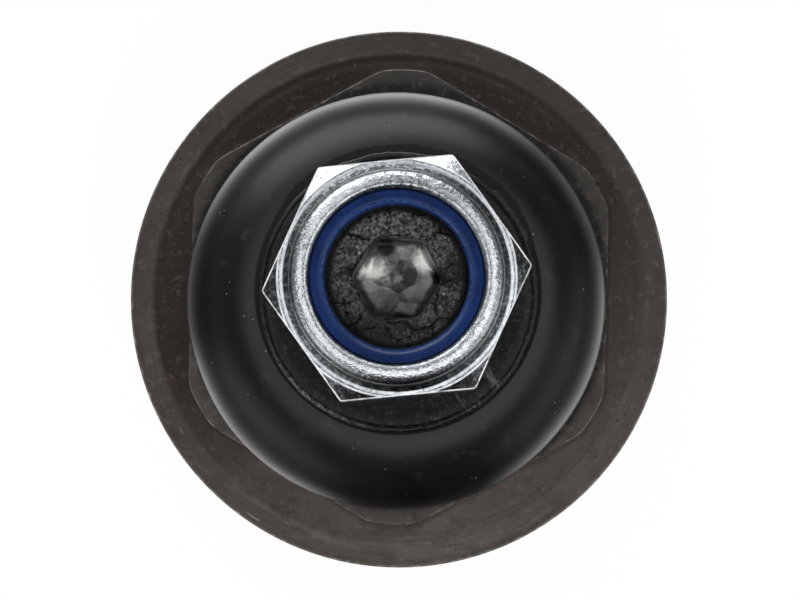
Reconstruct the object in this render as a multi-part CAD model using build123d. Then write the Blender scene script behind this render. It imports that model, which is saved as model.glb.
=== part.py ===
from build123d import *
import os
from math import cos, radians, sin, sqrt, tan

# Screw-in suspension ball joint, in millimetres.
# The origin is the centre of the flange's underside, the face that seats on the arm.
# +Z points along the stud, from the ball to the nut.

# Housing: thread, flange, wrench hex and boot neck, from the bottom up
body_wall = 5.0  # from the bearing's bore to the outside of the thread
body_relief_depth = 1.3
body_relief_length = 2.2
seat_recess_width = 1.0  # recess in the seat face, round the thread
seat_recess_depth = 0.5
body_end_chamfer = 1.4
lip_thickness = 1.35  # the body's end is rolled over the cap
lip_overlap = 2.8
lip_round = 1.6
flange_width = 3.0  # flat ring of the flange, outside the foot
flange_thickness = 6.0
flange_edge = 0.4
foot_width = 1.8  # ring left between the hex's corners and the flange
foot_height = 0.9
wrench_flats = 46.0
wrench_corner_cut = 1.36  # the hex's corners are turned down by this much
wrench_height = 8.0
wrench_corner_radius = 6.0  # where a flat runs into a turned corner
wrench_edge = 0.3
wrench_angle = 28.5  # one corner's direction from +X, in degrees
groove_step = 0.4  # the boot's groove is this much wider, in radius, than the bore
groove_height = 4.6
mouth_lip_depth = 1.3
mouth_lip_height = 1.6
mouth_edge = 0.4

# Ball and swing
ball_dia = 28.0
ball_height = 5.0  # ball centre above the seat face
ball_flat_dia = 8.0
swing = 25.0  # degrees each way
swing_clearance = 0.45

# Bearing shells
bearing_wall = 3.5
bearing_gap = 0.05  # running clearance on the ball and in the bore
bearing_recess = 0.77  # the upper shell's top lies this far under the body's throat
bearing_split = 0.4  # space between the two shells, taken up as they wear
bearing_floor = 1.5
grease_hole_dia = 10.0
slot_count = 6
slot_width = 1.2
slot_depth = 5.5
grease_groove_width = 1.6
grease_groove_depth = 0.6

# Parts under the lower shell
washer_thickness = 1.4
washer_hole_dia = 12.0
washer_play = 0.3
spring_thickness = 1.3
spring_cone = 0.8  # how far the disc spring is dished
spring_hole_dia = 16.0
spring_play = 0.5
cap_thickness = 2.4
cap_ledge = 0.8  # the bore is this much wider, in radius, where the cap sits
cap_dish_dia = 22.0
cap_dish_depth = 0.8
stack_gap = 0.05
fit_gap = 0.05

# Stud above the ball
neck_dia = 15.0
neck_radius = 1.0  # fillet from the ball to the neck
neck_flare = 4.0
seat_length = 4.0  # cylinder inside the boot's lip
cone_gap = 0.5  # the cone starts this far above the boot's lip
cone_length = 16.5
cone_ratio = 10.0
stud_thread_dia = 16.0
stud_thread_length = 17.4
thread_depth = 0.95
seat_step = 1.25  # the cone's large end over the thread, in radius
relief_depth = 1.2
relief_length = 1.6
socket_flats = 8.0
socket_depth = 6.0
socket_angle = -2.0
socket_point = 1.2  # cone left by the punch, below the flats
socket_edge = 0.5

# Lock nut and its insert
nut_wall = 4.0  # from the thread's outside to the flats
nut_height = 16.0
nut_hex_height = 12.0
nut_top_edge = 0.2  # the top chamfer starts this far outside the flats
nut_face_edge = 0.8  # the bearing face ends this far inside them
nut_chamfer = 30.0
nut_angle = 5.5
corner_margin = 0.05
nut_thread_gap = 0.08  # radial, over the stud's thread
nut_countersink = 0.7
crown_base_edge = 0.1
crown_edge = 1.2  # the crown's wall stands this far inside the flats
crown_wall = 0.9
crown_lip = 1.05  # the crown is rolled in this far over the insert
crown_mouth_edge = 0.6
insert_bite = 0.7  # the insert's bore is this much under the thread, in radius
insert_height = 3.2
insert_edge = 0.6
insert_gap = 0.05
insert_lead = 0.45  # the insert's underside stands this far above the stud's end

# Boot and its two wire clips
boot_bulge = 1.8  # the boot's widest place, outside its bead
boot_height = 15.0  # from the body's mouth to the top of the lip
boot_wall = 2.0
boot_gap = 0.2
bead_depth = 2.9
bead_height = 3.8  # straight part of the bead's outside
bulge_height = 8.7  # widest place, above the hex
boot_lip_dia = 30.2
boot_lip_thickness = 1.8
boot_lip_edge = 0.3
lip_groove_count = 2  # grooves round the lip's bore, which leave sealing ribs between them
lip_groove_width = 1.2
lip_groove_depth = 0.5
dome_inset = 2.9  # the dome's crown lies this far inside the lip's edge
lower_wire_dia = 1.6
lower_wire_height = 1.9  # above the bead's underside
upper_wire_dia = 1.4
wire_gap = 0.15
wire_opening = 16.0  # degrees left open in each wire ring

# Sizes and levels that follow
ball_radius = ball_dia / 2
bore_radius = ball_radius + bearing_wall
shell_radius = bore_radius - bearing_gap
cap_bore_radius = bore_radius + cap_ledge
body_thread_radius = bore_radius + body_wall
groove_radius = bore_radius + groove_step
mouth_lip_radius = groove_radius + mouth_lip_depth
thread_radius = stud_thread_dia / 2
seat_radius = thread_radius + seat_step
nut_inradius = thread_radius + nut_wall
crown_radius = nut_inradius - crown_edge
chamber_radius = crown_radius - crown_wall
crown_mouth_radius = chamber_radius - crown_lip
hex_top = flange_thickness + wrench_height
groove_top = hex_top + groove_height
mouth_top = groove_top + mouth_lip_height
boot_top = mouth_top + boot_height
cone_start = boot_top + cone_gap
cone_end = cone_start + cone_length
cone_end_radius = seat_radius - cone_length / cone_ratio / 2
thread_start = cone_end + relief_length
stud_end = thread_start + stud_thread_length
insert_bottom = stud_end + insert_lead
nut_bottom = insert_bottom - nut_hex_height
shell_bottom = ball_height - ball_radius - bearing_gap - bearing_floor
washer_bottom = shell_bottom - stack_gap - washer_thickness
spring_bottom = washer_bottom - stack_gap - spring_thickness - spring_cone
cap_top = spring_bottom - stack_gap
cap_bottom = cap_top - cap_thickness
body_bottom = cap_bottom - stack_gap - lip_thickness


def turned(*runs):
    """Turn a closed outline, drawn as radius and height, about the stud's axis."""
    edges = [edge for run in runs for edge in run.edges()]
    return revolve(Plane.XZ * make_face(edges), Axis.Z)


def path(*points):
    """Straight runs through the points, as one piece of an outline."""
    return Polyline(*points)


def hex_bar(flats, bottom, height, corner_angle):
    """A hexagonal bar with one corner at the given angle from +X."""
    outline = RegularPolygon(flats / 2, 6, major_radius=False, rotation=corner_angle)
    return Pos(0, 0, bottom) * extrude(outline, height)


def sphere_radius(radius, height):
    """A ball's own radius at a height over its centre."""
    return sqrt(radius**2 - height**2)


def ball_arc(radius, start_height, end_height):
    """Arc of a sphere about the ball's centre, between two heights over that centre."""
    middle = (start_height + end_height) / 2
    points = [(sphere_radius(radius, h), ball_height + h) for h in (start_height, middle, end_height)]
    return ThreePointArc(*points)


def swing_radius(height):
    """Radius that clears the leaning neck, at a height over the ball's centre."""
    lean = radians(swing)
    return height * tan(lean) + (neck_dia / 2 + swing_clearance) / cos(lean)


def opening_height(radius):
    """Height over the ball's centre where a sphere about it meets the swing cone."""
    slope = tan(radians(swing))
    base = swing_radius(0)
    under_root = radius**2 * (1 + slope**2) - base**2
    return (sqrt(under_root) - slope * base) / (1 + slope**2)


def housing():
    """Body with its thread, flange, wrench hex, boot neck and the bore for the bearing."""
    thread = body_thread_radius
    end = thread - body_end_chamfer
    relief = thread - body_relief_depth
    recess = thread + seat_recess_width
    core = wrench_flats / 2 / cos(radians(30)) - wrench_corner_cut
    foot = core + foot_width
    flange = foot + flange_width
    lip_inner = cap_bore_radius - lip_overlap
    thread_end = body_bottom + lip_round
    mouth = swing_radius(mouth_top - ball_height)
    throat = opening_height(bore_radius)

    lower = turned(
        ThreePointArc((end - lip_round, body_bottom),
                      (end - lip_round + lip_round * sin(radians(45)),
                       thread_end - lip_round * sin(radians(45))),
                      (end, thread_end)),
        path((end, thread_end), (thread, thread_end + body_end_chamfer),
             (thread, -body_relief_length), (relief, -body_relief_length + body_relief_depth),
             (relief, seat_recess_depth), (recess, seat_recess_depth), (recess, 0),
             (flange - flange_edge, 0), (flange, flange_edge),
             (flange, flange_thickness - flange_edge), (flange - flange_edge, flange_thickness),
             (foot, flange_thickness)),
        ThreePointArc((foot, flange_thickness),
                      (foot - foot_height * sin(radians(45)),
                       flange_thickness + foot_height * (1 - cos(radians(45)))),
                      (foot - foot_height, flange_thickness + foot_height)),
        path((foot - foot_height, flange_thickness + foot_height),
             (0, flange_thickness + foot_height), (0, body_bottom), (end - lip_round, body_bottom)))

    corners = RegularPolygon(wrench_flats / 2, 6, major_radius=False, rotation=wrench_angle) & Circle(core)
    outline = fillet(corners.vertices(), wrench_corner_radius)
    wrench = Pos(0, 0, flange_thickness) * extrude(outline, wrench_height)
    wrench = chamfer(wrench.faces().sort_by(Axis.Z)[-1].edges(), wrench_edge)

    neck = turned(
        path((0, hex_top), (groove_radius, hex_top), (groove_radius, groove_top),
             (mouth_lip_radius, groove_top), (mouth_lip_radius, mouth_top - mouth_edge),
             (mouth_lip_radius - mouth_edge, mouth_top), (0, mouth_top), (0, hex_top)))

    inside = turned(
        path((0, body_bottom), (lip_inner, body_bottom), (lip_inner, cap_bottom - stack_gap),
             (cap_bore_radius, cap_bottom - stack_gap), (cap_bore_radius, cap_top + stack_gap),
             (bore_radius, cap_top + stack_gap), (bore_radius, ball_height)),
        ball_arc(bore_radius, 0, throat),
        path((sphere_radius(bore_radius, throat), ball_height + throat), (mouth, mouth_top),
             (0, mouth_top), (0, body_bottom)))
    return lower + wrench + neck - inside


def end_cap():
    """Disc that closes the body, dished underneath and held by the rolled lip."""
    rim = cap_bore_radius - fit_gap
    dish = cap_dish_dia / 2
    return turned(
        path((0, cap_top), (0, cap_bottom + cap_dish_depth),
             (dish - cap_dish_depth, cap_bottom + cap_dish_depth),
             (dish, cap_bottom), (rim, cap_bottom), (rim, cap_top), (0, cap_top)))


def disc_spring():
    """Dished washer that presses the lower shell up against the ball."""
    hole = spring_hole_dia / 2
    rim = bore_radius - spring_play
    return turned(
        path((hole, spring_bottom + spring_cone), (rim, spring_bottom),
             (rim, spring_bottom + spring_thickness),
             (hole, spring_bottom + spring_cone + spring_thickness), (hole, spring_bottom + spring_cone)))


def thrust_washer():
    """Flat washer that spreads the spring's load over the lower shell."""
    hole = washer_hole_dia / 2
    rim = bore_radius - washer_play
    top = washer_bottom + washer_thickness
    return turned(path((hole, washer_bottom), (rim, washer_bottom), (rim, top), (hole, top),
                       (hole, washer_bottom)))


def lower_bearing():
    """Lower shell: the cup under the ball, with grease grooves running up from its hole."""
    cup = ball_radius + bearing_gap
    hole = grease_hole_dia / 2
    rim = -bearing_split / 2
    hole_level = -sphere_radius(cup, hole)
    shell = turned(
        ball_arc(cup, rim, hole_level),
        path((hole, ball_height + hole_level), (hole, shell_bottom), (shell_radius, shell_bottom),
             (shell_radius, ball_height + rim), (sphere_radius(cup, rim), ball_height + rim)))
    disc = Pos(0, 0, ball_height) * Rot(90, 0, 0) * Cylinder(cup + grease_groove_depth, grease_groove_width)
    for turn in range(slot_count // 2):
        shell -= Rot(0, 0, turn * 360 / slot_count) * disc
    return shell


def upper_bearing():
    """Upper shell: holds the ball in over its equator, slotted so that it can close on it."""
    cup = ball_radius + bearing_gap
    rim = bearing_split / 2
    cover = opening_height(cup)
    top = opening_height(bore_radius) - bearing_recess
    shell = turned(
        ball_arc(cup, rim, cover),
        path((sphere_radius(cup, cover), ball_height + cover), (swing_radius(top), ball_height + top),
             (sphere_radius(shell_radius, top), ball_height + top)),
        ball_arc(shell_radius, top, rim),
        path((sphere_radius(shell_radius, rim), ball_height + rim),
             (sphere_radius(cup, rim), ball_height + rim)))
    slot_bottom = ball_height + top - slot_depth
    slot = Pos(0, 0, slot_bottom) * Box(bore_radius, slot_width, slot_depth + bearing_wall,
                                        align=(Align.MIN, Align.CENTER, Align.MIN))
    for turn in range(slot_count):
        shell -= Rot(0, 0, (turn + 0.5) * 360 / slot_count) * slot
    return shell


def ball_stud():
    """Forged stud: ball, neck, boot seat, 1:10 cone and threaded end with a hex socket."""
    neck = neck_dia / 2
    relief = thread_radius - relief_depth
    flat = ball_flat_dia / 2
    flat_level = -sphere_radius(ball_radius, flat)
    neck_level = sphere_radius(ball_radius, neck)
    seat_start = cone_start - seat_length
    end = thread_radius - thread_depth
    stud = turned(
        ball_arc(ball_radius, flat_level, neck_level),
        path((neck, ball_height + neck_level), (neck, seat_start - neck_flare), (seat_radius, seat_start),
             (seat_radius, cone_start), (cone_end_radius, cone_end),
             (relief, cone_end + (cone_end_radius - relief) / 2),
             (relief, thread_start - relief_depth / 2), (thread_radius, thread_start),
             (thread_radius, stud_end - thread_depth), (end, stud_end), (0, stud_end),
             (0, ball_height + flat_level), (flat, ball_height + flat_level)))
    joint_edge = stud.edges().filter_by(GeomType.CIRCLE).sort_by(
        lambda edge: abs(edge.center().Z - ball_height - neck_level))[0]
    stud = fillet(joint_edge, neck_radius)
    socket = hex_bar(socket_flats, stud_end - socket_depth, socket_depth, socket_angle)
    floor = stud_end - socket_depth
    point = turned(path((0, floor), (socket_flats / 2, floor), (0, floor - socket_point), (0, floor)))
    mouth = socket_flats / 2 / cos(radians(30))
    lead_in = turned(path((0, stud_end), (mouth, stud_end), (mouth - socket_edge, stud_end - socket_edge),
                          (0, stud_end - socket_edge), (0, stud_end)))
    return stud - socket - point - lead_in


def lock_nut():
    """Hexagonal nut with a crown that is rolled over its insert."""
    corner = nut_inradius / cos(radians(30)) + corner_margin
    slope = tan(radians(nut_chamfer))
    face = nut_inradius - nut_face_edge
    edge = nut_inradius + nut_top_edge
    bore = thread_radius + nut_thread_gap
    base = nut_inradius - crown_base_edge
    rim = (crown_radius + crown_mouth_radius) / 2
    mouth_level = nut_height - crown_mouth_edge
    insert_top = nut_hex_height + insert_height
    wall_level = nut_hex_height + (nut_height - nut_hex_height) * 0.6
    bar = hex_bar(2 * nut_inradius, 0, nut_hex_height, nut_angle) & turned(
        path((0, 0), (face, 0), (corner, (corner - face) * slope),
             (corner, nut_hex_height - (corner - edge) * slope),
             (edge, nut_hex_height), (0, nut_hex_height), (0, 0)))
    crown = turned(
        path((0, nut_hex_height), (base, nut_hex_height)),
        ThreePointArc((base, nut_hex_height),
                      (crown_radius + (base - crown_radius) / 4, (nut_hex_height + wall_level) / 2),
                      (crown_radius, wall_level)),
        ThreePointArc((crown_radius, wall_level),
                      ((2 * crown_radius + crown_mouth_radius) / 3, nut_height - crown_mouth_edge / 2),
                      (rim, nut_height)),
        path((rim, nut_height), (crown_mouth_radius, mouth_level), (0, mouth_level), (0, nut_hex_height)))
    inside = turned(
        path((0, 0), (bore + nut_countersink, 0), (bore, nut_countersink), (bore, nut_hex_height),
             (chamber_radius, nut_hex_height), (chamber_radius, insert_top - crown_lip),
             (crown_mouth_radius, insert_top), (crown_mouth_radius, nut_height), (0, nut_height), (0, 0)))
    return Pos(0, 0, nut_bottom) * (bar + crown - inside)


def nylon_insert():
    """Ring in the nut's crown, into which the stud cuts its thread."""
    bore = thread_radius - insert_bite
    outer = chamber_radius - insert_gap
    mouth = crown_mouth_radius - insert_gap
    bottom = insert_bottom + insert_gap
    top = insert_bottom + insert_height
    return turned(
        path((bore, bottom), (outer, bottom), (outer, top - crown_lip - insert_gap),
             (mouth, top - insert_gap), (mouth, top + insert_gap), (bore + insert_edge, top + insert_gap),
             (bore, top + insert_gap - insert_edge), (bore, bottom)))


def boot_levels():
    """Radii and heights that the boot shares with its two clips."""
    bead_bottom = hex_top + boot_gap
    bead_outer = groove_radius + boot_gap + bead_depth
    lip_bottom = boot_top - boot_lip_thickness
    upper_groove = upper_wire_dia / 2 + wire_gap
    return bead_bottom, bead_outer, lip_bottom, upper_groove


def boot():
    """Rubber gaiter: bead in the body's groove, bulged dome and the flat lip round the stud."""
    bead_bottom, bead_outer, lip_bottom, upper_groove = boot_levels()
    lower_groove = lower_wire_dia / 2 + wire_gap
    wire_level = bead_bottom + lower_wire_height
    bead_top = bead_bottom + bead_height
    bead_inner = groove_radius + boot_gap
    rim_inner = mouth_lip_radius + boot_gap
    bulge = bead_outer + boot_bulge
    bulge_level = hex_top + bulge_height
    lip = boot_lip_dia / 2
    lip_bore = seat_radius + boot_gap
    waist = lip - dome_inset
    dome_top = lip_bottom - 2 * upper_groove
    dome_rise = dome_top - bulge_level
    rise_radius = (boot_bulge**2 + (bulge_level - bead_top)**2) / (2 * boot_bulge)
    bore_bottom = dome_top - boot_wall
    spacing = (boot_top - bore_bottom) / (lip_groove_count + 1)
    bore = [(lip_bore, boot_top)]
    for number in range(lip_groove_count):
        level = boot_top - (number + 1) * spacing
        bore += [(lip_bore, level + lip_groove_width / 2), (lip_bore + lip_groove_depth, level),
                 (lip_bore, level - lip_groove_width / 2)]
    return turned(
        path((bead_inner, bead_bottom), (bead_outer, bead_bottom), (bead_outer, wire_level - lower_groove)),
        ThreePointArc((bead_outer, wire_level - lower_groove), (bead_outer - lower_groove, wire_level),
                      (bead_outer, wire_level + lower_groove)),
        path((bead_outer, wire_level + lower_groove), (bead_outer, bead_top)),
        RadiusArc((bead_outer, bead_top), (bulge, bulge_level), -rise_radius),
        EllipticalCenterArc((waist, bulge_level), bulge - waist, dome_rise, start_angle=0, arc_size=90),
        path((waist, dome_top), (waist, lip_bottom), (lip, lip_bottom), (lip, boot_top - boot_lip_edge),
             (lip - boot_lip_edge, boot_top), *bore, (lip_bore, bore_bottom), (waist, bore_bottom)),
        EllipticalCenterArc((waist, bulge_level), bulge - waist - boot_wall, dome_rise - boot_wall,
                            start_angle=0, arc_size=90),
        path((bulge - boot_wall, bulge_level), (rim_inner, mouth_top + boot_gap),
             (rim_inner, groove_top - boot_gap), (bead_inner, groove_top - boot_gap),
             (bead_inner, bead_bottom)))


def wire_ring(wire_dia, ring_radius, level):
    """Open ring of round wire."""
    section = Plane.XZ * Pos(ring_radius, level) * Circle(wire_dia / 2)
    return revolve(section, Axis.Z, 360 - wire_opening)


def boot_lower_clip():
    """Wire ring in the groove outside the boot's bead."""
    bead_bottom, bead_outer, _, _ = boot_levels()
    return wire_ring(lower_wire_dia, bead_outer, bead_bottom + lower_wire_height)


def boot_upper_clip():
    """Wire ring between the boot's crown and its lip."""
    _, _, lip_bottom, upper_groove = boot_levels()
    neck = boot_lip_dia / 2 - dome_inset
    return wire_ring(upper_wire_dia, neck + upper_groove, lip_bottom - upper_groove)


os.makedirs("parts", exist_ok=True)
for make in (housing, end_cap, disc_spring, thrust_washer, lower_bearing, upper_bearing, ball_stud,
             boot, boot_lower_clip, boot_upper_clip, nylon_insert, lock_nut):
    piece = make()
    export_step(piece, f"parts/{make.__name__}.step")
    print(make.__name__, round(piece.volume), "mm3")
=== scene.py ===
# Screw-in suspension ball joint, looked at down its stud.
from math import cos, degrees, exp, log, pi, radians, sin, sqrt, tan
import bmesh
import bpy
from mathutils import Matrix, Vector, noise


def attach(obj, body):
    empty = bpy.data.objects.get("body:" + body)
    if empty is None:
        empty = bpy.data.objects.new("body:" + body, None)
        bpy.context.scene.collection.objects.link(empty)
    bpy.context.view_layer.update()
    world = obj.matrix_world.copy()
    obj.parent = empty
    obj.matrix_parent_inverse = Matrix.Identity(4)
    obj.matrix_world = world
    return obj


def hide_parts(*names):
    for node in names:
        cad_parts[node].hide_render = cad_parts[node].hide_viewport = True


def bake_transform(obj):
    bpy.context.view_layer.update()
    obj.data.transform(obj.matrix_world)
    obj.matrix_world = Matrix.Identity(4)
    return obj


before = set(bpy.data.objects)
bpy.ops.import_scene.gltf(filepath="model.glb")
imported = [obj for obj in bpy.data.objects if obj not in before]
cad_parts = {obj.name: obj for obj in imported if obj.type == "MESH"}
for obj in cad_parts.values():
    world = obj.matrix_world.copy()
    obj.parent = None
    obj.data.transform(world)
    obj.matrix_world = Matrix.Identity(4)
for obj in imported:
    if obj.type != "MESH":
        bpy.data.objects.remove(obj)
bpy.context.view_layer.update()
mm = 0.001
print("frame loaded:", len(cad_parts), "nodes")


class Signal:
    # A shader socket that can be added, multiplied and so on like a number.
    def __init__(self, paint, socket):
        self.paint = paint
        self.socket = socket

    def __add__(self, other):
        return self.paint.maths("ADD", self, other)

    def __radd__(self, other):
        return self.paint.maths("ADD", other, self)

    def __sub__(self, other):
        return self.paint.maths("SUBTRACT", self, other)

    def __rsub__(self, other):
        return self.paint.maths("SUBTRACT", other, self)

    def __mul__(self, other):
        return self.paint.maths("MULTIPLY", self, other)

    def __rmul__(self, other):
        return self.paint.maths("MULTIPLY", other, self)

    def __truediv__(self, other):
        return self.paint.maths("DIVIDE", self, other)

    def __pow__(self, other):
        return self.paint.maths("POWER", self, other)

    def between(self, low, high):  # 0 at low, 1 at high, smooth between
        return self.paint.add("ShaderNodeMapRange", {"interpolation_type": "SMOOTHSTEP"},
                              {0: self, 1: low, 2: high, 3: 0.0, 4: 1.0})

    def near(self, centre, reach):  # 1 at centre, 0 further off than reach
        return 1 - self.paint.maths("ABSOLUTE", self - centre).between(0.0, reach)


class Paint:
    # The node tree of a material or of the world. Lengths are in mm.
    def __init__(self, owner):
        self.owner = owner
        owner.use_nodes = True
        self.tree = owner.node_tree
        self.tree.nodes.clear()

    def add(self, kind, settings, inputs, output=0):
        node = self.tree.nodes.new(kind)
        for key, value in settings.items():
            setattr(node, key, value)
        for key, value in inputs.items():
            if isinstance(value, Signal):
                self.tree.links.new(value.socket, node.inputs[key])
            else:
                node.inputs[key].default_value = value
        return Signal(self, node.outputs[output])

    def maths(self, operation, first, second=0.0):
        return self.add("ShaderNodeMath", {"operation": operation}, {0: first, 1: second})

    def locate(self):
        coordinates = self.add("ShaderNodeTexCoord", {}, {}, "Object")
        self.spot = self.add("ShaderNodeVectorMath", {"operation": "SCALE"},
                             {0: coordinates, "Scale": 1 / mm})
        self.x, self.y, self.z = [self.add("ShaderNodeSeparateXYZ", {}, {0: self.spot}, axis)
                                  for axis in range(3)]
        self.radius = (self.x * self.x + self.y * self.y) ** 0.5
        self.angle = self.maths("ARCTAN2", self.y, self.x)
        return self

    def vector(self, x, y, z):
        return self.add("ShaderNodeCombineXYZ", {}, {0: x, 1: y, 2: z})

    def noise(self, size, detail=3.0, rough=0.55, spot=None):
        return self.add("ShaderNodeTexNoise", {}, {
            "Vector": spot or self.spot, "Scale": 1 / size, "Detail": detail, "Roughness": rough})

    def cells(self, size, output="Distance", spot=None):
        return self.add("ShaderNodeTexVoronoi", {},
                        {"Vector": spot or self.spot, "Scale": 1 / size}, output)

    def rings(self, size, spread=3.0):  # lathe marks: quick across the radius, slow along it
        along = self.vector(self.radius, self.z, self.angle * spread)
        return self.noise(size, 2.0, 0.6, along)

    def blob(self, x, y, reach):  # 1 over a point of the top view, 0 beyond reach
        across = self.x - x
        up = self.y - y
        return 1 - ((across * across + up * up) ** 0.5).between(0.0, reach)

    def side(self, turned):  # 1 on the side of the object at that angle, -1 opposite, 0 between
        return (self.x * cos(radians(turned)) + self.y * sin(radians(turned))) / self.radius

    def mix(self, low, high, share):
        colours = {key: value if isinstance(value, Signal) else (*value, 1.0)
                   for key, value in ((6, low), (7, high))}
        return self.add("ShaderNodeMix", {"data_type": "RGBA"}, {0: share, **colours}, 2)

    def bump(self, height, depth, under=None):
        inputs = {"Height": height, "Distance": depth * mm, "Strength": 1.0}
        if under:
            inputs["Normal"] = under
        return self.add("ShaderNodeBump", {}, inputs)

    def finish(self, **sockets):
        inputs = {name.replace("_", " "): (*value, 1.0) if isinstance(value, tuple) else value
                  for name, value in sockets.items()}
        shader = self.add("ShaderNodeBsdfPrincipled", {}, inputs)
        self.close(shader)
        return self.owner

    def close(self, shader, kind="ShaderNodeOutputMaterial"):
        output = self.tree.nodes.new(kind)
        self.tree.links.new(shader.socket, output.inputs[0])


def newPaint(name):
    return Paint(bpy.data.materials.new(name)).locate()


def rounded(corners, steps=4):
    # Corners are (radius, height) or (radius, height, rounding). A rounding becomes a short curve.
    points = []
    for index, corner in enumerate(corners):
        here = Vector(corner[:2])
        if len(corner) < 3:
            points.append(here)
            continue
        ends = []
        for other in (corners[index - 1], corners[(index + 1) % len(corners)]):
            run = Vector(other[:2]) - here
            ends.append(here + run.normalized() * min(corner[2], run.length * 0.48))
        for step in range(steps + 1):
            share = step / steps
            points.append(ends[0] * (1 - share) ** 2 + here * 2 * share * (1 - share)
                          + ends[1] * share ** 2)
    return [tuple(point) for point in points]


def lathe(name, outline, columns, move=None, closed=True, sharp=32):
    # A grid turned about +Z. outline(angle) gives its points as (radius, height) in mm,
    # and move(x, y, z) can push a point afterwards.
    spots = []
    for column in range(columns):
        angle = 2 * pi * column / columns
        points = outline(angle)
        for radius, height in points:
            spot = (radius * cos(angle), radius * sin(angle), height)
            spots.append(move(*spot) if move else spot)
    rows = len(points)  # every column has the same number of points
    faces = []
    for column in range(columns):
        here, there = column * rows, (column + 1) % columns * rows
        for row in range(rows if closed else rows - 1):
            after = (row + 1) % rows
            faces.append((here + row, there + row, there + after, here + after))
    mesh = bpy.data.meshes.new(name)
    mesh.from_pydata([Vector(spot) * mm for spot in spots], [], faces)
    return settle(name, mesh, sharp)


def settle(name, mesh, sharp):
    sheet = bmesh.new()
    sheet.from_mesh(mesh)
    bmesh.ops.remove_doubles(sheet, verts=sheet.verts, dist=1e-7)
    bmesh.ops.dissolve_degenerate(sheet, dist=1e-8, edges=sheet.edges)
    bmesh.ops.recalc_face_normals(sheet, faces=sheet.faces)
    sheet.to_mesh(mesh)
    sheet.free()
    mesh.shade_smooth()
    mesh.set_sharp_from_angle(angle=radians(sharp))
    piece = bpy.data.objects.new(name, mesh)
    bpy.context.scene.collection.objects.link(piece)
    return piece


def place(piece, material, slot, body, *nodes):
    piece.data.materials.clear()
    piece.data.materials.append(material)
    if body:
        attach(piece, body)
    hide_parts(*nodes)
    print("made", piece.name)


def softMin(first, second, blend):
    return -blend * log(exp(-first / blend) + exp(-second / blend))


def hexRadius(inradius, corner, angle):  # distance to a hexagon's side
    turned = (angle - radians(corner)) % (pi / 3) - pi / 6
    return inradius / cos(turned)


def threadWave(height, angle, pitch):  # 0 at the root, 1 at the crest of a right-hand thread
    rootShare, flankShare = 0.14, 0.72
    phase = (height / pitch - angle / (2 * pi)) % 1
    return min(1, max(0, (abs(2 * phase - 1) - rootShare) / flankShare))


def grain(x, y, z, size, seed=0.0):  # soft unevenness from -1 to 1
    return noise.fractal(Vector((x / size + seed, y / size, z / size)), 0.9, 2.1, 4)


housingSizes = {
    "flange": 30.0, "flangeTop": 6.0, "flangeEdge": 0.32,
    "hex": 23.0, "hexCorner": 28.5, "hexTurned": 25.2, "hexTop": 14.0, "hexEdge": 0.28,
    "groove": 17.9, "grooveTop": 18.6, "mouthLip": 19.2, "mouthTop": 20.2, "mouth": 15.86,
    "thread": 22.5, "pitch": 1.5, "threadDepth": 0.9, "threadStart": -16.4, "threadEnd": -0.9,
    "leadIn": 21.1, "relief": 21.2, "bottom": -18.0, "rolledLip": 15.5, "lipTop": -16.65,
    "bore": 17.5, "throat": 10.77, "ball": 5.0, "capBore": 18.3, "capTop": -14.15, "columns": 480,
}


def housingOutline(angle):
    size = housingSizes
    side = softMin(hexRadius(size["hex"], size["hexCorner"], angle), size["hexTurned"], 0.16)
    dent = 0.05 * noise.noise(Vector((cos(angle) * 7, sin(angle) * 7, 3)))
    top = size["hexTop"]
    lip, lipTop, bottom = size["rolledLip"], size["lipTop"], size["bottom"]
    start, end, lead = size["threadStart"], size["threadEnd"], size["leadIn"]
    points = rounded([(lip, lipTop), (lip, bottom, 0.5), (lead, bottom, 1.6), (lead, start)])
    height = start
    while height < end:
        limit = min(lead + height - start, size["relief"] + end - height)
        form = size["thread"] - size["threadDepth"] * (1 - threadWave(height, angle, size["pitch"]))
        points.append((min(form, limit), height))
        height += 0.125
    points += rounded([
        (size["relief"], end), (size["relief"], 0.5, 0.3), (23.5, 0.5, 0.15), (23.5, 0.0, 0.12),
        (size["flange"], 0.0, 0.4), (size["flange"], size["flangeTop"], size["flangeEdge"]),
        (27.55, size["flangeTop"]), (27.25, 6.12), (26.95, 6.1), (26.6, 6.16 + dent),
        (26.2, 6.5 + dent, 0.5), (side + 0.55, 6.75 + dent, 0.3), (side, 7.6, 0.5),
        (side, top, size["hexEdge"]), (side - 1.2, top), (side - 2.4, top)], 3)
    points += [(side - (side - size["groove"]) * share / 6, top) for share in range(4, 6)]
    points += rounded([
        (size["groove"], top, 0.2), (size["groove"], size["grooveTop"]),
        (size["mouthLip"], size["grooveTop"], 0.15), (size["mouthLip"], size["mouthTop"], 0.4),
        (size["mouth"], size["mouthTop"], 0.2), (13.79, 15.77)], 3)
    for step in range(1, 12):  # inside, round the bearing
        height = size["throat"] * (1 - step / 11)
        points.append((sqrt(size["bore"] ** 2 - height ** 2), size["ball"] + height))
    points += [(size["bore"], size["capTop"]), (size["capBore"], size["capTop"]),
               (size["capBore"], lipTop)]
    return points


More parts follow.
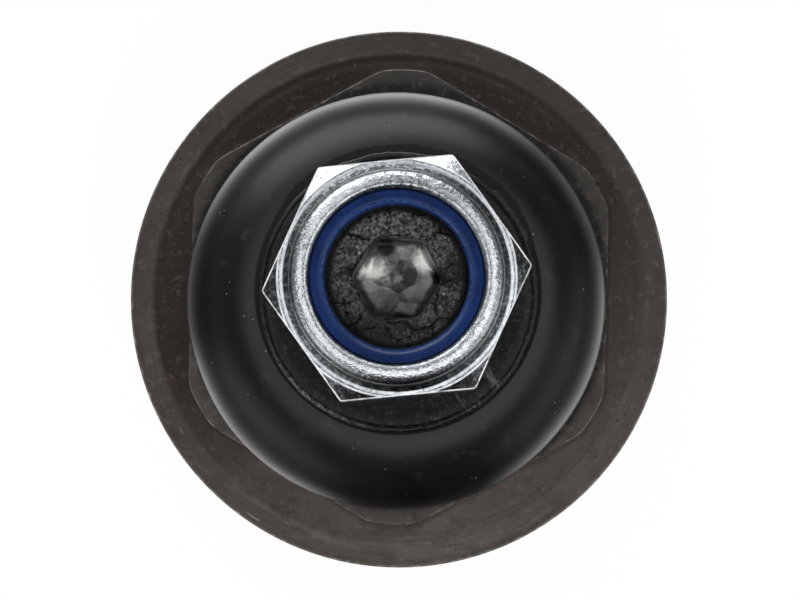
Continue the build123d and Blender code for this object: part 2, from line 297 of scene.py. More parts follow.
def phosphateFinish():
    paint = newPaint("phosphated_steel")
    r, z = paint.radius, paint.z
    blotch = paint.noise(9.0, 4.0, 0.6)
    fine = paint.noise(0.9, 4.0, 0.65)
    grit = paint.noise(0.22, 3.0, 0.7)
    marks = paint.rings(0.16)
    broad = paint.rings(0.8, 1.2)
    face = r.between(27.1, 27.5) * z.between(5.5, 5.8) * (1 - z.between(6.3, 6.6))
    forged = r.between(22.6, 23.4) * (1 - r.between(27.2, 27.9)) * (1 - z.between(12.5, 13.6))
    top = z.between(13.6, 13.9) * r.between(22.0, 22.4)
    colour = paint.mix((0.060, 0.049, 0.042), (0.083, 0.071, 0.063), blotch.between(0.35, 0.7))
    colour = paint.mix(colour, (0.112, 0.097, 0.087), face * (broad.between(0.45, 0.8) * 0.6))
    # painted shade: the forged band round the hex is darker and rougher on its upper left side
    paintedForgedShade = forged * paint.side(115).between(-0.55, 0.25)
    colour = paint.mix(colour, (0.018, 0.012, 0.010), paintedForgedShade * (0.8 + 0.3 * fine))
    shadeAndMottleTone = (0.030, 0.025, 0.022)
    # painted shade: the flange darker on its upper right side
    colour = paint.mix(colour, shadeAndMottleTone, paint.side(30).between(0.2, 1.0) * 0.62)
    # painted shade: darker on the left side
    colour = paint.mix(colour, (0.030, 0.023, 0.020), (-1 * paint.x / r).between(0.4, 1.0) * 0.35)
    colour = paint.mix(colour, (0.060, 0.055, 0.050), top * 0.8)
    # painted shade: darker towards the top
    colour = paint.mix(colour, shadeAndMottleTone, (paint.y / r).between(-0.45, 0.35) * 0.26)
    # painted shadow: the hex top goes nearly black close under the boot's side
    paintedShadow = top * (1 - (r + fine).between(23.6, 24.5))  # under the boot's side
    colour = paint.mix(colour, (0.008, 0.006, 0.005), paintedShadow * 0.9)
    mottle = paint.noise(2.2, 5.0, 0.7)
    colour = paint.mix(colour, shadeAndMottleTone, mottle.between(0.46, 0.66) * 0.55)
    colour = paint.mix(colour, (0.165, 0.150, 0.138), fine.between(0.53, 0.71) * 0.27)
    drawn = paint.noise(0.28, 3.0, 0.6, paint.vector(r, paint.angle * 1.6, 0.0))
    colour = paint.mix(colour, (0.040, 0.033, 0.029), face * drawn.between(0.48, 0.66) * 0.55)
    pits = (1 - paint.cells(1.3).between(0.05, 0.13)) * paint.noise(5.0).between(0.50, 0.60)
    colour = paint.mix(colour, (0.012, 0.010, 0.009), pits * 0.8)
    streak = paint.noise(0.5, 2.0, 0.5, paint.vector(r * 2.4, paint.angle * 3.4, z))
    scratched = face * streak.between(0.69, 0.76) * (paint.angle + 2.35).near(0.0, 0.9)
    colour = paint.mix(colour, (0.30, 0.29, 0.27), scratched * 0.8)
    colour = paint.mix(colour, (0.075, 0.035, 0.020), mottle.between(0.60, 0.75) * forged * 0.5)
    specks = (1 - paint.cells(0.55).between(0.04, 0.10)) * paint.noise(3.0).between(0.52, 0.66)
    colour = paint.mix(colour, (0.42, 0.40, 0.36), specks * 0.6)
    # painted highlight: a light line along the flange's outer edge, broken up by noise
    rim = r.between(29.72, 29.9) * z.between(5.6, 5.8)
    hexEdgeHighlight = z.between(13.72, 13.82) * (1 - z.between(13.93, 13.97)) * r.between(22.6, 22.8)
    rim = rim * (0.25 + 0.75 * fine.between(0.45, 0.65))
    colour = paint.mix(colour, (0.30, 0.28, 0.26), rim * 0.7)
    # painted highlight: a light line along the hex's top edge
    colour = paint.mix(colour, (0.26, 0.23, 0.20), hexEdgeHighlight * fine.between(0.42, 0.62) * 0.6)
    rough = 0.46 + 0.18 * (fine - 0.5) + 0.10 * forged + 0.25 * paintedForgedShade - 0.06 * face
    normal = paint.bump(marks, 0.012)
    normal = paint.bump(fine * (0.35 + forged), 0.09, normal)
    normal = paint.bump(1 - pits, 0.06, normal)
    normal = paint.bump(grit, 0.010, normal)
    return paint.finish(Base_Color=colour, Roughness=rough, Metallic=0.3, Specular_IOR_Level=0.38,
                        Normal=normal)


housing = lathe("housing_body", housingOutline, housingSizes["columns"])
place(housing, phosphateFinish(), "phosphated_steel", "body", "housing")


studSizes = {
    "thread": 8.0, "pitch": 1.5, "threadDepth": 0.92, "end": 71.2,
    "endRadius": 7.05, "socket": 4.0, "socketCorner": -2.0, "socketFloor": 65.2, "drillPoint": 1.2,
    "ball": 14.0, "ballHeight": 5.0, "columns": 288,
    "dents": ((-1.3, 3.9, 1.0, 0.9), (4.3, 0.15, 0.75, 0.8), (5.9, -0.9, 0.7, 0.35),
              (4.2, -4.4, 1.1, 0.22), (-5.2, 0.9, 0.8, 0.18)),  # x, y, reach, depth
}


def studOutline(angle):
    size = studSizes
    points = [(0.0, -8.42), (2.0, -8.42), (4.0, -8.416)]
    for step in range(1, 25):
        tilt = radians(-73.4 + (57.6 + 73.4) * step / 24)
        points.append((size["ball"] * cos(tilt), size["ballHeight"] + size["ball"] * sin(tilt)))
    points += rounded([  # neck, collar, cone and the undercut before the thread
        (7.5, 16.82, 0.9), (7.5, 27.7, 1.6), (9.25, 31.7, 0.8), (9.25, 35.7, 0.15),
        (8.425, 52.2, 0.15), (6.95, 53.0, 0.3), (6.95, 53.2, 0.3)])
    height = 53.3
    while height < size["end"] - 0.55:
        limit = min(6.95 + (height - 53.2) * 1.7, size["endRadius"] + (size["end"] - height))
        form = size["thread"] - size["threadDepth"] * (1 - threadWave(height, angle, size["pitch"]))
        points.append((min(form, limit), height))
        height += 0.115
    rim = softMin(hexRadius(size["socket"], size["socketCorner"], angle), 4.5, 0.08)
    wear = 0.28 * noise.noise(Vector((cos(angle) * 1.7, sin(angle) * 1.7, 1.3)))
    mouth = rim + 0.55 + wear
    points += [(7.36, 70.86), (7.2, 71.03), (7.02, 71.15), (6.8, size["end"])]
    points += [(6.8 + (mouth - 6.8) * step / 14, size["end"]) for step in range(1, 14)]
    deep = size["socketFloor"]
    points += [(mouth, 71.18), (mouth - 0.2, 71.08), (rim + 0.16, 70.9), (rim + 0.03, 70.55),
               (rim, 70.1), (rim, 69.4), (rim, 68.6), (rim, 67.8), (rim, 67.0), (rim, 66.2)]
    points += [(rim - 0.12, deep + 0.3), (rim - 0.5, deep)]
    points += [((rim - 0.5) * (1 - step / 9), deep - size["drillPoint"] * (step / 9))
               for step in range(1, 10)]
    return points


def pitStud(x, y, z):  # rough sheared end, dents beside the socket
    radius = sqrt(x * x + y * y)
    if z < 64.5 or radius > 7.3:
        return x, y, z
    top = min(1, max(0, (z - 70.3) / 0.5))
    rough = grain(x, y, z, 0.62, 4.0)
    z += 0.085 * rough * top * min(1, (7.3 - radius) / 0.3)
    for dentX, dentY, reach, deep in studSizes["dents"]:
        off = sqrt((x - dentX) ** 2 + (y - dentY) ** 2) / reach
        if off < 1:
            z -= deep * (1 - off * off) ** 2 * top
    if top < 1 and z > 65.6:
        soft = 0.07 * grain(x, y, z, 1.1, 9.0)
        x, y = x * (1 + soft / radius), y * (1 + soft / radius)
    return x, y, z


def forgedFinish():
    paint = newPaint("forged_steel")
    r, z = paint.radius, paint.z
    grit = paint.noise(0.36, 4.0, 0.8)
    flake = paint.cells(0.19, "Color")
    shine = paint.add("ShaderNodeSeparateColor", {}, {0: flake})
    fine = paint.noise(0.5, 4.0, 0.7)
    blotch = paint.noise(3.0, 4.0, 0.6)
    end = z.between(70.3, 70.9) * (1 - r.between(7.1, 7.4))
    socket = z.between(63.8, 63.9) * (1 - r.between(4.9, 5.4)) * (1 - end)
    ball = 1 - z.between(16.4, 17.2)
    cone = z.between(31.6, 31.9) * (1 - z.between(52.3, 52.6))
    colour = paint.mix((0.040, 0.037, 0.035), (0.075, 0.070, 0.066), blotch.between(0.35, 0.65))
    colour = paint.mix(colour, (0.26, 0.255, 0.25), cone * (0.5 + 0.3 * fine))
    colour = paint.mix(colour, (0.50, 0.50, 0.49), ball * 0.9)
    ends = paint.mix((0.008, 0.0075, 0.0075), (0.15, 0.143, 0.141), grit.between(0.38, 0.66))
    # painted light: the end face lighter towards the top
    paintedLight = paint.blob(-2.0, 5.5, 8.5) * grit.between(0.42, 0.62)
    ends = paint.mix(ends, (0.30, 0.29, 0.29), paintedLight * 0.6)
    glints = shine.between(0.972, 0.985) * blotch.between(0.4, 0.6)
    ends = paint.mix(ends, (0.62, 0.60, 0.57), glints * 0.7)
    # painted shade: the end face darker at the lower left and at the right
    dark = paint.blob(-2.2, -5.2, 4.4) + paint.blob(6.2, 0.6, 3.0)
    ends = paint.mix(ends, (0.008, 0.007, 0.007), dark.between(0.1, 0.9) * 0.7)
    ends = paint.mix(ends, (0.010, 0.009, 0.008), paint.noise(1.5, 3.0).between(0.53, 0.64) * 0.7)
    # painted shade round the edge of the end face, in the gap to the insert
    ends = paint.mix(ends, (0.008, 0.007, 0.007), r.between(6.4, 6.9) * 0.85)
    bent = paint.vector(paint.x + 1.4 * fine, paint.y + 1.4 * blotch, 0.0)
    crack = paint.add("ShaderNodeTexVoronoi", {"feature": "DISTANCE_TO_EDGE"},
                      {"Vector": bent, "Scale": 0.34})
    crack = (1 - crack.between(0.0, 0.055)) * blotch.between(0.42, 0.52)
    ends = paint.mix(ends, (0.004, 0.004, 0.004), crack * 0.85)
    colour = paint.mix(colour, ends, end)
    facets = paint.cells(2.1, "Distance", paint.vector(paint.x, paint.y, z * 0.4))
    patch = paint.add("ShaderNodeSeparateColor", {}, {
        0: paint.cells(1.7, "Color", paint.vector(paint.x + fine * 0.8, paint.y, z * 0.3))})
    # real wear patches, plus painted light and shade below
    wearLightAndShade = paint.mix((0.07, 0.066, 0.062), (0.26, 0.252, 0.242), patch * 0.5 + 0.9 * fine - 0.2)
    # painted highlights on the socket's walls, at the left and the upper right
    bright = (paint.blob(-2.8, 1.3, 2.3) + paint.blob(2.9, 2.0, 2.3) * 1.2
              + paint.blob(-0.6, 0.2, 2.8) * 0.5 + 0.9 * (fine - 0.5))
    wearLightAndShade = paint.mix(wearLightAndShade, (0.80, 0.785, 0.76), bright.between(0.2, 1.15))
    # painted shade in the dents beside the socket and towards its bottom
    socketShade = (paint.blob(-1.2, 3.3, 1.9) + paint.blob(4.2, 0.2, 1.3)
             + paint.blob(0.2, -4.2, 2.4) * 0.8)
    socketShade = (socketShade + 0.9 * (fine - 0.5)).between(0.25, 0.75)
    wearLightAndShade = paint.mix(wearLightAndShade, (0.010, 0.009, 0.009), socketShade * 0.9)
    colour = paint.mix(colour, wearLightAndShade, socket)
    metal = 0.45 + 0.5 * ball + 0.4 * cone + 0.35 * socket
    rough = 0.46 - 0.28 * ball - 0.14 * cone + 0.16 * (fine - 0.5) - 0.16 * socket
    normal = paint.bump((grit - 1.5 * crack) * end, 0.16)
    normal = paint.bump(facets * socket, 0.35, normal)
    normal = paint.bump(fine * (1 - ball), 0.030, normal)
    normal = paint.bump(paint.rings(0.10) * cone, 0.008, normal)
    return paint.finish(Base_Color=colour, Roughness=rough, Metallic=metal, Normal=normal)


stud = lathe("stud_forging", studOutline, studSizes["columns"], pitStud, closed=False)
place(stud, forgedFinish(), "forged_steel", "stud", "ball_stud")


nutSizes = {
    "bottom": 59.65, "inradius": 12.0, "corner": 5.5, "cornerCut": 13.8, "chamfer": 30.0,
    "topRing": 12.2, "face": 11.2, "hexHeight": 12.0, "bore": 8.08, "pitch": 1.5,
    "threadDepth": 0.85, "columns": 360,
}


def nutOutline(angle):
    size = nutSizes
    base = size["bottom"]
    angle = angle + radians(size["corner"])
    side = min(hexRadius(size["inradius"], size["corner"], angle), size["cornerCut"])
    slope = tan(radians(size["chamfer"]))
    lower = max(0.02, (side - size["face"]) * slope)
    upper = size["hexHeight"] - max(0.0, (side - size["topRing"]) * slope)
    points = rounded([
        (8.78, 0.0, 0.1), (size["face"], 0.0, 0.12), (side, lower, 0.10), (side, upper, 0.15)])
    uneven = 0.07 * cos(angle - radians(40)) + 0.03 * sin(5 * angle)
    points += rounded([
        (min(side, size["topRing"]), size["hexHeight"], 0.13), (11.9, 12.01), (11.32, 12.2, 0.3)])
    points += [(11.14, 12.6), (11.07, 13.2), (11.03, 13.8), (11.0, 14.3), (10.96, 14.75),
               (10.88, 15.1)]
    points += [(radius + uneven, height) for radius, height in (  # the rolled crown
        (10.75, 15.35), (10.57, 15.54), (10.36, 15.69), (10.1, 15.80), (9.82, 15.89), (9.56, 15.94),
        (9.34, 15.93), (9.17, 15.83))]
    points += [(9.0, 15.64), (8.9, 15.35), (8.86, 15.05), (9.1, 14.75),  # round the insert
               (9.9, 14.15), (9.9, size["hexHeight"]), (8.2, size["hexHeight"])]
    height = 11.9
    while height > 0.75:
        crest = size["bore"] + 0.02  # just clear of the stud's crests
        root = crest - size["threadDepth"]
        form = root + (crest - root) * threadWave(base + height, angle, size["pitch"])
        limit = max(crest - height * 1.2 + 0.5, crest - (size["hexHeight"] - height) * 1.2)
        points.append((max(form, min(crest, limit)), height))
        height -= 0.125
    points.append((8.3, 0.45))
    return [(radius, base + height) for radius, height in points]


def turnNut(x, y, z):  # the grid starts at a corner of the hex
    corner = radians(nutSizes["corner"])
    return x * cos(corner) - y * sin(corner), x * sin(corner) + y * cos(corner), z


def zincFinish():
    paint = newPaint("zinc")
    r, z = paint.radius, paint.z
    height = z - nutSizes["bottom"]
    pebble = paint.noise(0.42, 3.0, 0.6)
    broad = paint.noise(1.7, 3.0, 0.55)
    fine = paint.noise(0.12, 2.0, 0.6)
    crown = height.between(12.3, 13.2)
    wall = r.between(10.45, 10.85) * (1 - r.between(11.45, 11.85)) * height.between(11.9, 12.1)
    slope = r.between(12.25, 12.35) * height.between(10.2, 10.6) * (1 - r.between(13.55, 13.75))
    # the upper side, where the chamfers catch the light
    paintedLight = paint.side(97).between(0.15, 0.65)
    colour = paint.mix((0.70, 0.75, 0.79), (0.85, 0.90, 0.94), broad.between(0.3, 0.7))
    # painted dark reflection, speckled, for the steep walls and the chamfers
    paintedDarkReflection = paint.mix((0.025, 0.027, 0.026), (0.36, 0.38, 0.38), pebble.between(0.44, 0.66))
    wall = wall + (1 - r.between(9.12, 9.3)) * height.between(14.9, 15.2) * 0.75  # and the inside
    # painted dark reflection on the crown's outer wall and inside its roll
    colour = paint.mix(colour, paintedDarkReflection, wall * 0.92)
    # painted dark reflection on the chamfers, weaker on the upper side
    colour = paint.mix(colour, paintedDarkReflection, slope * (0.9 - 0.5 * paintedLight))
    # painted shade: the crown darker on its upper side
    crownTopShade = crown * (paint.angle - 1.35).near(0.0, 1.1) * (0.3 + pebble.between(0.40, 0.62))
    colour = paint.mix(colour, (0.20, 0.22, 0.23), crownTopShade * 0.75)
    soot = paint.noise(0.7, 4.0, 0.7).between(0.57, 0.68)
    # painted shade on the crown's slopes either side of a bright ring, which sits further out at
    # the lower right
    crownHighlightRadius = 9.95 + 0.25 * (paint.x - paint.y) / r + 0.35 * (broad - 0.5)
    crownFlankShade = crown * (1 - (r - crownHighlightRadius).near(0.0, 1.1)) * height.between(14.9, 15.2)
    crownFlankShade = crownFlankShade * (0.2 + 0.8 * pebble.between(0.44, 0.60))
    colour = paint.mix(colour, (0.13, 0.145, 0.15), crownFlankShade * 0.45)
    colour = paint.mix(colour, (0.09, 0.10, 0.10), soot * 0.6)
    corner = radians(nutSizes["corner"])
    sides = []
    for side in range(3):  # how far out towards each pair of flats
        turned = corner + pi / 6 + pi / 3 * side
        sides.append(paint.maths("ABSOLUTE", paint.x * cos(turned) + paint.y * sin(turned)))
    across = paint.maths("MAXIMUM", paint.maths("MAXIMUM", sides[0], sides[1]), sides[2])
    # painted highlights: pale, less metallic lines along the hex's side edges and the top ring's
    # edge
    edge = across.between(11.82, 11.90) * height.between(10.3, 10.7)
    edge = edge + r.near(12.21, 0.13) * height.between(11.82, 11.9)
    edge = edge.between(0.0, 1.0) * (0.45 + 0.55 * broad.between(0.3, 0.55))
    colour = paint.mix(colour, (0.90, 0.91, 0.92), edge)
    rough = 0.16 + 0.12 * (broad - 0.5) + 0.14 * wall + 0.10 * soot
    normal = paint.bump(pebble * (0.35 + 0.30 * crown), 0.13)
    normal = paint.bump(broad, 0.060, normal)
    normal = paint.bump(fine, 0.008, normal)
    return paint.finish(Base_Color=colour, Roughness=rough, Metallic=1 - 0.85 * edge,
                        Normal=normal)


nut = lathe("nut_shell", nutOutline, nutSizes["columns"], turnNut)
place(nut, zincFinish(), "zinc", "nut", "lock_nut")


insertSizes = {
    "bore": 7.3, "outer": 9.85, "mouth": 8.8, "bottom": 71.7, "top": 74.9, "columns": 180,
}


def insertOutline(angle):
    size = insertSizes
    wave = 0.03 * sin(3 * angle + 0.6) + 0.02 * sin(7 * angle)
    return rounded([
        (size["bore"], size["bottom"], 0.1), (size["outer"], size["bottom"], 0.1),
        (size["outer"], 73.8), (size["mouth"], 74.8),
        (size["mouth"] - 0.02, size["top"] + wave * 0.5, 0.1),
        (8.2, 74.86 + wave), (7.82, 74.84 + wave, 0.3), (size["bore"] + 0.02, 74.3, 0.25)])


def nylonFinish():
    paint = newPaint("blue_nylon")
    cloud = paint.noise(2.4, 3.0, 0.5)
    fine = paint.noise(0.3, 3.0, 0.6)
    colour = paint.mix((0.0008, 0.0105, 0.056), (0.0015, 0.0170, 0.092), cloud.between(0.3, 0.7))
    # painted highlight: a paler blue ring at the bore's rounded edge
    lip = paint.radius.near(7.62, 0.30) * (0.3 + 0.7 * fine.between(0.4, 0.65))
    colour = paint.mix(colour, (0.045, 0.085, 0.22), lip * 0.8)
    normal = paint.bump(fine, 0.012)
    normal = paint.bump(paint.rings(0.2), 0.008, normal)
    return paint.finish(Base_Color=colour, Roughness=0.30 + 0.2 * (fine - 0.5), Normal=normal,
                        Coat_Roughness=0.15, Coat_Weight=0.12, Specular_IOR_Level=0.3)


insert = lathe("nut_insert", insertOutline, insertSizes["columns"])
place(insert, nylonFinish(), "blue_nylon", "nut_carrier", "nylon_insert")


bootSizes = {
    "beadInner": 18.1, "beadOuter": 21.0, "beadBottom": 14.2, "beadTop": 18.0,
    "lowerGroove": 0.95, "lowerWire": 16.1, "upperGroove": 0.85, "upperWire": 32.55, "neck": 12.4,
    "waist": 12.2, "bulgeHeight": 22.7, "domeWide": 10.6, "domeHigh": 9.0, "wall": 2.0,
    "lip": 15.1, "lipBottom": 33.4, "lipTop": 35.2, "lipBore": 9.45, "ribGap": 9.95,
    "columns": 360,
    "sag": (-0.24, -0.75), "lipSag": (0.0, -0.30),
}


def flash(angle):  # moulding flash left ragged round the lip
    turned = degrees(angle) % 360
    ragged = 0.16 * noise.noise(Vector((cos(angle) * 5, sin(angle) * 5, 2))) \
        + 0.07 * noise.noise(Vector((cos(angle) * 21, sin(angle) * 21, 6)))
    torn = 0.45 if 22 < turned < 47 else 0.15 if 12 < turned < 60 else 0.0
    ridge = 0.22 if 70 < turned < 118 else 0.0
    return ragged + torn * (0.6 + 0.4 * noise.noise(Vector((turned / 4, 1, 0)))) + ridge


def bootOutline(angle):
    size = bootSizes
    inner, outer, neck = size["beadInner"], size["beadOuter"], size["neck"]
    bore, gap, waist, bulgeHeight = (
        size[name] for name in ("lipBore", "ribGap", "waist", "bulgeHeight"))
    points = rounded([(inner, size["beadBottom"], 0.3), (outer, size["beadBottom"], 0.4)])
    for step in range(9):  # groove for the lower wire
        tilt = radians(-90 - 180 * step / 8)
        points.append((outer + size["lowerGroove"] * cos(tilt),
                       size["lowerWire"] + size["lowerGroove"] * sin(tilt)))
    points += rounded([(outer, 17.05), (outer, size["beadTop"], 0.25)], 2)[1:]
    for step in range(1, 9):  # side, up to the widest place
        share = step / 8
        points.append((outer + 1.8 * (1 - (1 - share) ** 2), size["beadTop"] + 4.7 * share))
    for step in range(1, 33):  # dome
        tilt = pi / 2 * step / 32
        points.append((waist + size["domeWide"] * cos(tilt),
                       bulgeHeight + size["domeHigh"] * sin(tilt)))
    for step in range(1, 8):  # groove for the upper wire
        tilt = radians(-90 - 180 * step / 8)
        points.append((neck + size["upperGroove"] * cos(tilt),
                       size["upperWire"] + size["upperGroove"] * sin(tilt)))
    edge = size["lip"] - 0.12 + flash(angle)
    points += rounded([
        (neck, size["lipBottom"]), (edge - 0.3, size["lipBottom"], 0.2), (edge, 34.55, 0.2),
        (edge - 0.05, 34.8, 0.15), (size["lip"] - 0.5, 34.95, 0.2)], 2)
    lipRows = 12
    for step in range(1, lipRows):
        radius = size["lip"] - 0.5 + (10.2 - size["lip"] + 0.5) * step / lipRows
        points.append((radius, 35.0 + 0.12 * min(1, step / 3)))
    points += rounded([  # bore, with grooves between its sealing ribs
        (bore, size["lipTop"], 0.35), (bore, 33.97), (gap, 33.37), (bore, 32.77), (bore, 32.13),
        (gap, 31.53), (bore, 30.93), (bore, 29.7, 0.2), (waist, 29.7)], 3)
    for step in range(1, 17):  # inside of the dome
        tilt = pi / 2 * (1 - step / 16)
        points.append((waist + (size["domeWide"] - size["wall"]) * cos(tilt),
                       bulgeHeight + (size["domeHigh"] - size["wall"]) * sin(tilt)))
    points += rounded([(19.4, 20.4, 0.2), (19.4, 18.4), (inner, 18.4)], 3)
    return points


def smooth(share):  # 0 to 1, held at both ends
    share = min(1, max(0, share))
    return share * share * (3 - 2 * share)


def sagBoot(x, y, z):  # the dome and the lip hang a little off centre
    size = bootSizes
    rise = smooth((z - size["beadTop"]) / 4.7)
    fall = smooth((z - 24.0) / 8.0)
    pushX = size["sag"][0] * rise * (1 - fall) + size["lipSag"][0] * fall
    pushY = size["sag"][1] * rise * (1 - fall) + size["lipSag"][1] * fall
    swell = 0.10 * noise.noise(Vector((x / 9, y / 9, z / 9))) * rise * (1 - fall)
    radius = max(1.0, sqrt(x * x + y * y))
    return x * (1 + swell / radius) + pushX, y * (1 + swell / radius) + pushY, z


def rubberFinish():
    paint = newPaint("rubber")
    r, z = paint.radius, paint.z
    cloud = paint.noise(7.0, 4.0, 0.6)
    fine = paint.noise(0.35, 4.0, 0.65)
    skin = paint.noise(1.4, 3.0, 0.5)
    lip = z.between(33.2, 33.8)
    colour = paint.mix((0.0025, 0.0019, 0.0024), (0.0050, 0.0041, 0.0050), cloud.between(0.3, 0.7))
    colour = paint.mix(colour, (0.0015, 0.0015, 0.0015), lip * 0.85)
    across = paint.vector(paint.x + paint.y * 0.6, (paint.x - paint.y) * 0.14, z)
    across = paint.noise(0.8, 3.0, 0.6, across)
    scuff = lip * across.between(0.57, 0.70) * paint.blob(8.5, -8.0, 9.0)
    colour = paint.mix(colour, (0.085, 0.088, 0.080), scuff * 0.9)
    grime = lip * paint.noise(0.5, 4.0, 0.7).between(0.50, 0.70)
    colour = paint.mix(colour, (0.030, 0.030, 0.028), grime * 0.7)
    chalk = r.near(15.0, 0.35) * lip * paint.blob(-9.5, -12.0, 9.0) * fine.between(0.42, 0.6)
    colour = paint.mix(colour, (0.16, 0.155, 0.14), chalk * 0.8)
    mist = paint.noise(2.6, 5.0, 0.7).between(0.58, 0.72)
    mist = mist * r.between(13.5, 16.0) * (1 - r.between(19.0, 22.0))
    colour = paint.mix(colour, (0.030, 0.029, 0.030), mist * 0.5)
    dust = (1 - paint.cells(1.05).between(0.035, 0.075)) * paint.noise(5.0).between(0.50, 0.62)
    colour = paint.mix(colour, (0.50, 0.49, 0.47), dust * 0.75)
    # painted shadow: a black ring under the lip's edge, wider and ragged on the upper side
    upward = ((paint.y + 0.1 * paint.x) / r).between(0.35, 0.75)
    ragged = r - 0.5 * upward - 1.1 * upward * (paint.noise(0.9, 4.0, 0.7) - 0.5)
    paintedShadow = r.between(14.7, 14.9) * (1 - ragged.between(15.4, 15.6)) * (1 - lip)
    colour = paint.mix(colour, (0.0003, 0.0003, 0.0003), paintedShadow)
    rough = 0.30 + 0.10 * (cloud - 0.5) + 0.04 * lip + 0.15 * dust + 0.5 * paintedShadow
    normal = paint.bump(fine, 0.008)
    normal = paint.bump(skin * (0.3 + lip), 0.035, normal)
    return paint.finish(Base_Color=colour, Roughness=rough, Specular_IOR_Level=0.42,
                        Specular_Tint=(1.0, 0.95, 1.02), Normal=normal)


boot = lathe("boot_rubber", bootOutline, bootSizes["columns"], sagBoot)
place(boot, rubberFinish(), "rubber", None, "boot")
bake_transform(boot)


clipSizes = {
    "boot_lower_wire": {"wire": 0.8, "ring": 21.0, "height": 16.1, "shift": (0.0, 0.0),
                        "body": "body", "node": "boot_lower_clip"},
    "boot_upper_wire": {"wire": 0.7, "ring": 13.05, "height": 32.55, "shift": (0.0, -0.30),
                        "body": "lean", "node": "boot_upper_clip"},
}


def wireRing(name, size):
    # Open ring of round wire from 0 to 344 degrees, with domed ends.
    steps, sides, gap = 150, 16, 16.0
    spots, faces = [], []
    caps = [(-1.0, 0.0), (-0.85, 0.53), (-0.5, 0.87)]
    stations = [(share * size["wire"], scale) for share, scale in caps]
    length = radians(360 - gap) * size["ring"]
    stations += [(length * step / steps, 1.0) for step in range(steps + 1)]
    stations += [(length - share * size["wire"], scale) for share, scale in reversed(caps)]
    for along, scale in stations:
        angle = along / size["ring"]
        for side in range(sides):
            turned = 2 * pi * side / sides
            radius = size["ring"] + size["wire"] * scale * cos(turned)
            height = size["height"] + size["wire"] * scale * sin(turned)
            spots.append(Vector((radius * cos(angle) + size["shift"][0],
                                 radius * sin(angle) + size["shift"][1], height)) * mm)
    for station in range(len(stations) - 1):
        for side in range(sides):
            after = (side + 1) % sides
            faces.append((station * sides + side, station * sides + after,
                          (station + 1) * sides + after, (station + 1) * sides + side))
    mesh = bpy.data.meshes.new(name)
    mesh.from_pydata(spots, [], faces)
    return settle(name, mesh, 60)


def wireFinish():
    paint = newPaint("wire")
    along = paint.vector(paint.radius * 4, paint.z * 4, paint.angle * 3)
    drawn = paint.noise(0.10, 3.0, 0.6, along)
    stain = paint.noise(1.8, 4.0, 0.6)
    colour = paint.mix((0.24, 0.24, 0.25), (0.38, 0.38, 0.39), stain.between(0.3, 0.7))
    rust = paint.noise(0.6, 4.0, 0.7).between(0.62, 0.75)
    colour = paint.mix(colour, (0.10, 0.075, 0.055), rust * 0.6)
    return paint.finish(Base_Color=colour, Roughness=0.30 + 0.2 * (stain - 0.5), Metallic=0.95,
                        Normal=paint.bump(drawn, 0.006))


wirePaint = wireFinish()
for wireName, wireSize in clipSizes.items():
    place(wireRing(wireName, wireSize), wirePaint, "wire", wireSize["body"], wireSize["node"])


def capFinish():
    paint = newPaint("cap_steel")
    blotch = paint.noise(5.0, 4.0, 0.6)
    pressed = paint.noise(0.4, 4.0, 0.65)
    colour = paint.mix((0.070, 0.066, 0.062), (0.12, 0.113, 0.105), blotch.between(0.3, 0.7))
    colour = paint.mix(colour, (0.030, 0.024, 0.020), paint.radius.between(14.2, 15.4) * 0.7)
    normal = paint.bump(paint.rings(0.25), 0.010)
    normal = paint.bump(pressed, 0.020, normal)
    return paint.finish(Base_Color=colour, Roughness=0.36 + 0.2 * (pressed - 0.5), Metallic=0.8,
                        Normal=normal)


def springFinish():
    paint = newPaint("spring_steel")
    heat = paint.noise(4.0, 3.0, 0.5)
    colour = paint.mix((0.13, 0.13, 0.15), (0.19, 0.18, 0.17), heat.between(0.3, 0.7))
    return paint.finish(Base_Color=colour, Roughness=0.28 + 0.15 * (heat - 0.5), Metallic=0.95,
                        Normal=paint.bump(paint.rings(0.2), 0.008))


def acetalFinish():
    paint = newPaint("acetal")
    greasy = paint.noise(3.2, 4.0, 0.6)
    fine = paint.noise(0.4, 3.0, 0.6)
    colour = paint.mix((0.80, 0.78, 0.71), (0.70, 0.66, 0.55), greasy.between(0.4, 0.75))
    return paint.finish(Base_Color=colour, Roughness=0.45 + 0.15 * (fine - 0.5) - 0.12 * greasy,
                        Normal=paint.bump(fine, 0.010))


inner = {"end_cap": capFinish(), "disc_spring": springFinish(), "lower_bearing": acetalFinish()}
inner["thrust_washer"] = inner["disc_spring"]
inner["upper_bearing"] = inner["lower_bearing"]
for nodeName, finish in inner.items():
    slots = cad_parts[nodeName].data.materials
    slots.clear()
    slots.append(finish)
print("finishes set on", len(inner), "inner parts")


room = {
    "floorHeight": -18.0, "floorWidth": 6.0, "glow": 0.96, "base": 0.03,
    "lobes": ((105, 60, 1.1), (222, 36, 0.72), (335, 42, 0.62), (30, 40, 0.16), (180, 45, 0.16)),
    "high": 0.70, "highLobes": ((345, 85, 1.3), (185, 75, 1.3), (268, 75, 1.8)),
}


def surround(x, y, base, lobes):  # how bright the room is, seen in a reflection towards x, y
    bright = base
    for turned, reach, level in lobes:
        facing = x * cos(radians(turned)) + y * sin(radians(turned))
        bright = bright + level * facing.between(cos(radians(reach)), 1.0)
    return bright


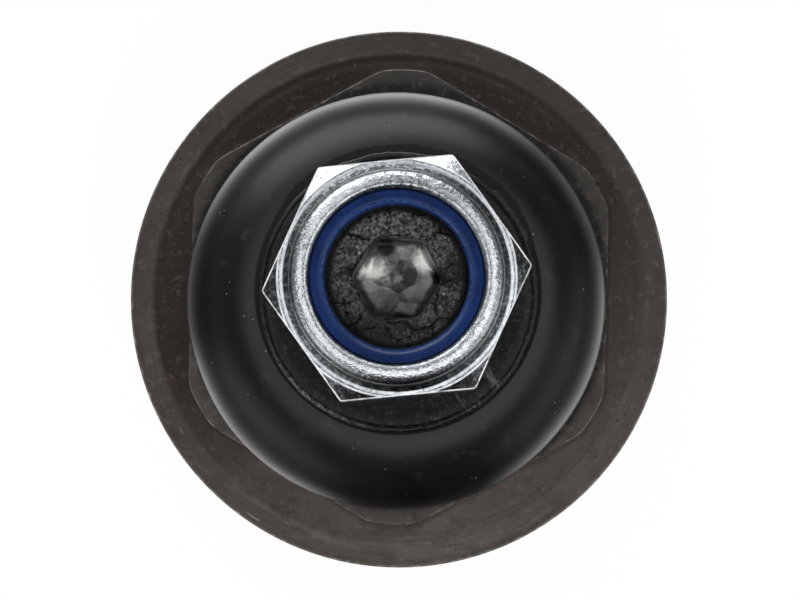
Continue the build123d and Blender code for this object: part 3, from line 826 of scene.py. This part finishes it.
def makeFloor():
    half = room["floorWidth"] / 2
    mesh = bpy.data.meshes.new("floor")
    mesh.from_pydata([(-half, -half, 0), (half, -half, 0), (half, half, 0), (-half, half, 0)], [],
                     [(0, 1, 2, 3)])
    ground = bpy.data.objects.new("floor", mesh)
    ground.location.z = (room["floorHeight"] - 0.05) * mm
    bpy.context.scene.collection.objects.link(ground)
    paint = newPaint("pale_floor")
    matt = paint.add("ShaderNodeBsdfDiffuse", {}, {0: (0.88, 0.88, 0.88, 1)})
    white = paint.add("ShaderNodeEmission", {}, {0: (1, 1, 1, 1), 1: 1.0})
    mirrored = surround(paint.x / paint.radius, paint.y / paint.radius, room["base"], room["lobes"])
    mirrored = mirrored * (0.5 + 1.4 * (1 - paint.radius.between(50.0, 120.0)))
    shade = paint.mix((0.0, 0.0, 0.0), (2.0, 2.0, 2.0), mirrored * 0.5)
    reflected = paint.add("ShaderNodeEmission", {}, {0: shade, 1: 1.0})
    camera, glossy, through = [
        paint.add("ShaderNodeLightPath", {}, {}, name)
        for name in ("Is Camera Ray", "Is Glossy Ray", "Is Transmission Ray")]
    seen = paint.add("ShaderNodeMixShader", {}, {0: camera * room["glow"], 1: matt, 2: white})
    bounced = (glossy + through).between(0.0, 1.0)
    paint.close(paint.add("ShaderNodeMixShader", {}, {0: bounced, 1: seen, 2: reflected}))
    mesh.materials.append(paint.owner)


def makeSky():
    # White to the camera. Reflections see a low ring of windows, a high ring of lights and a
    # dark ceiling.
    world = bpy.data.worlds.new("studio")
    bpy.context.scene.world = world
    paint = Paint(world)
    direction = paint.add("ShaderNodeTexCoord", {}, {}, "Generated")
    x, y, z = [paint.add("ShaderNodeSeparateXYZ", {}, {0: direction}, axis) for axis in range(3)]
    low = surround(x, y, room["base"], room["lobes"])
    high = surround(x, y, room["high"], room["highLobes"])
    above = z.between(0.64, 0.74)
    shade = 1.3 * low * (1 - above) + high * above * (1 - 0.95 * z.between(0.955, 0.985))
    shade = paint.mix((0.0, 0.0, 0.0), (2.0, 2.0, 2.0), shade * 0.5)
    camera = paint.add("ShaderNodeLightPath", {}, {}, "Is Camera Ray")
    colour = paint.mix(shade, (1.0, 1.0, 1.0), camera)
    paint.close(paint.add("ShaderNodeBackground", {}, {0: colour, 1: 1.0}), "ShaderNodeOutputWorld")


lamps = {
    "key_softbox": {"turn": 102, "lift": 20, "far": 0.9, "size": (1.35, 0.55), "watts": 3.6,
                    "shines": True},
    "low_fill": {"turn": 268, "lift": 55, "far": 1.2, "size": (0.7, 0.7), "watts": 9.0,
                 "shines": False},
}


def makeLamps():
    target = Vector((0, 0, 30)) * mm
    for name, size in lamps.items():
        lamp = bpy.data.lights.new(name, "AREA")
        lamp.shape = "RECTANGLE"
        lamp.size, lamp.size_y = size["size"]
        lamp.energy = size["watts"]
        turned, lift = radians(size["turn"]), radians(size["lift"])
        away = Vector((cos(turned) * cos(lift), sin(turned) * cos(lift), sin(lift)))
        box = bpy.data.objects.new(name, lamp)
        box.location = target + away * size["far"]
        box.rotation_euler = away.to_track_quat("Z", "Y").to_euler()
        box.visible_glossy = size["shines"]
        bpy.context.scene.collection.objects.link(box)


view = {"distance": 722.0, "lens": 290.5, "lean": 1.9, "roll": 0.18, "aim": (0.123, -0.10, 6.0)}


def makeCamera():
    camera = bpy.data.cameras.new("camera")
    camera.lens = view["lens"]
    camera.sensor_width = 36
    camera.clip_start = 0.01
    eye = bpy.data.objects.new("camera", camera)
    turned = (Matrix.Rotation(radians(view["lean"]), 3, "X")
              @ Matrix.Rotation(radians(view["roll"]), 3, "Y"))
    eye.rotation_euler = turned.to_euler()
    eye.location = (Vector(view["aim"]) + turned @ Vector((0, 0, view["distance"]))) * mm
    bpy.context.scene.collection.objects.link(eye)
    bpy.context.scene.camera = eye


makeFloor()
makeSky()
makeLamps()
makeCamera()
bpy.context.scene.view_settings.view_transform = "Standard"
print("stage, lamps and camera set")
